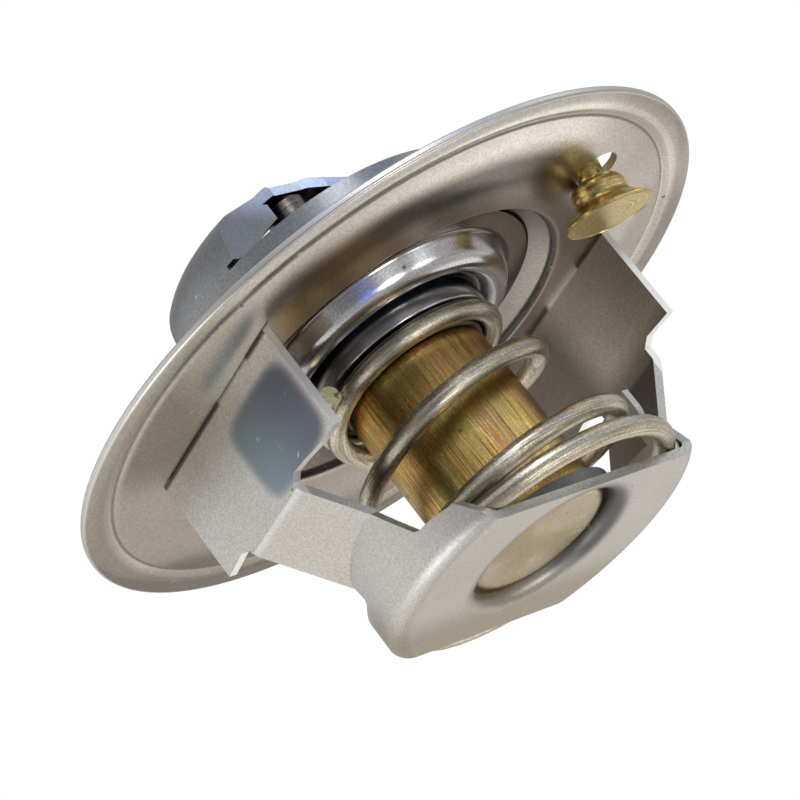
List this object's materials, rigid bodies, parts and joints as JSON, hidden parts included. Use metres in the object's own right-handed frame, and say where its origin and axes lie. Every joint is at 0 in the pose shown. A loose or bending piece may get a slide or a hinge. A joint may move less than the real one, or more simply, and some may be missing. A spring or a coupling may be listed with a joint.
{
  "type": "engine thermostat",
  "caption": "Round steel engine thermostat with a flanged valve seat, bridge, spring-loaded poppet valve on a brass wax element, riveted stirrup and brass jiggle pin.",
  "frame": {"origin": "on the valve axis at the underside of the base plate, where the part stands", "axes": "+Z along the valve axis from the base plate towards the bridge, +X along the two arms of the lower frame"},
  "size_m": [0.054, 0.054, 0.035],
  "materials": {
    "flange_steel": "satin",
    "frame_steel": "satin",
    "valve_steel": "polished",
    "spring_steel": "satin",
    "dark_steel": "rough",
    "cup_brass": "turned",
    "guide_brass": "turned",
    "piston_steel": "ground",
    "pin_brass": "turned",
    "rubber": "matt",
    "plug_plastic": "matt",
    "wax": "matt"
  },
  "bodies": {
    "housing": {"flange_bridge": "flange_steel", "lower_frame": "frame_steel", "main_spring": "spring_steel", "piston": "piston_steel", "anti_extrusion_disc": "plug_plastic", "rubber_plug": "rubber"},
    "element": {"wax_cup": "cup_brass", "element_guide": "guide_brass", "valve_disc": "valve_steel", "retaining_ring": "dark_steel", "diaphragm": "rubber", "wax_charge": "wax"},
    "jiggle": {"jiggle_pin": "pin_brass"}
  },
  "joints": [
    {"name": "valve_travel", "type": "slide", "parent": "housing", "child": "element", "axis": [0, 0, -1], "range_m": [0, 0.008], "stiffness_N_per_m": 3100, "springref_m": -0.01, "deforming": ["main_spring"]},
    {"name": "jiggle_travel", "type": "slide", "parent": "housing", "child": "jiggle", "axis": [0, 0, -1], "range_m": [0, 0.0016]}
  ]
}
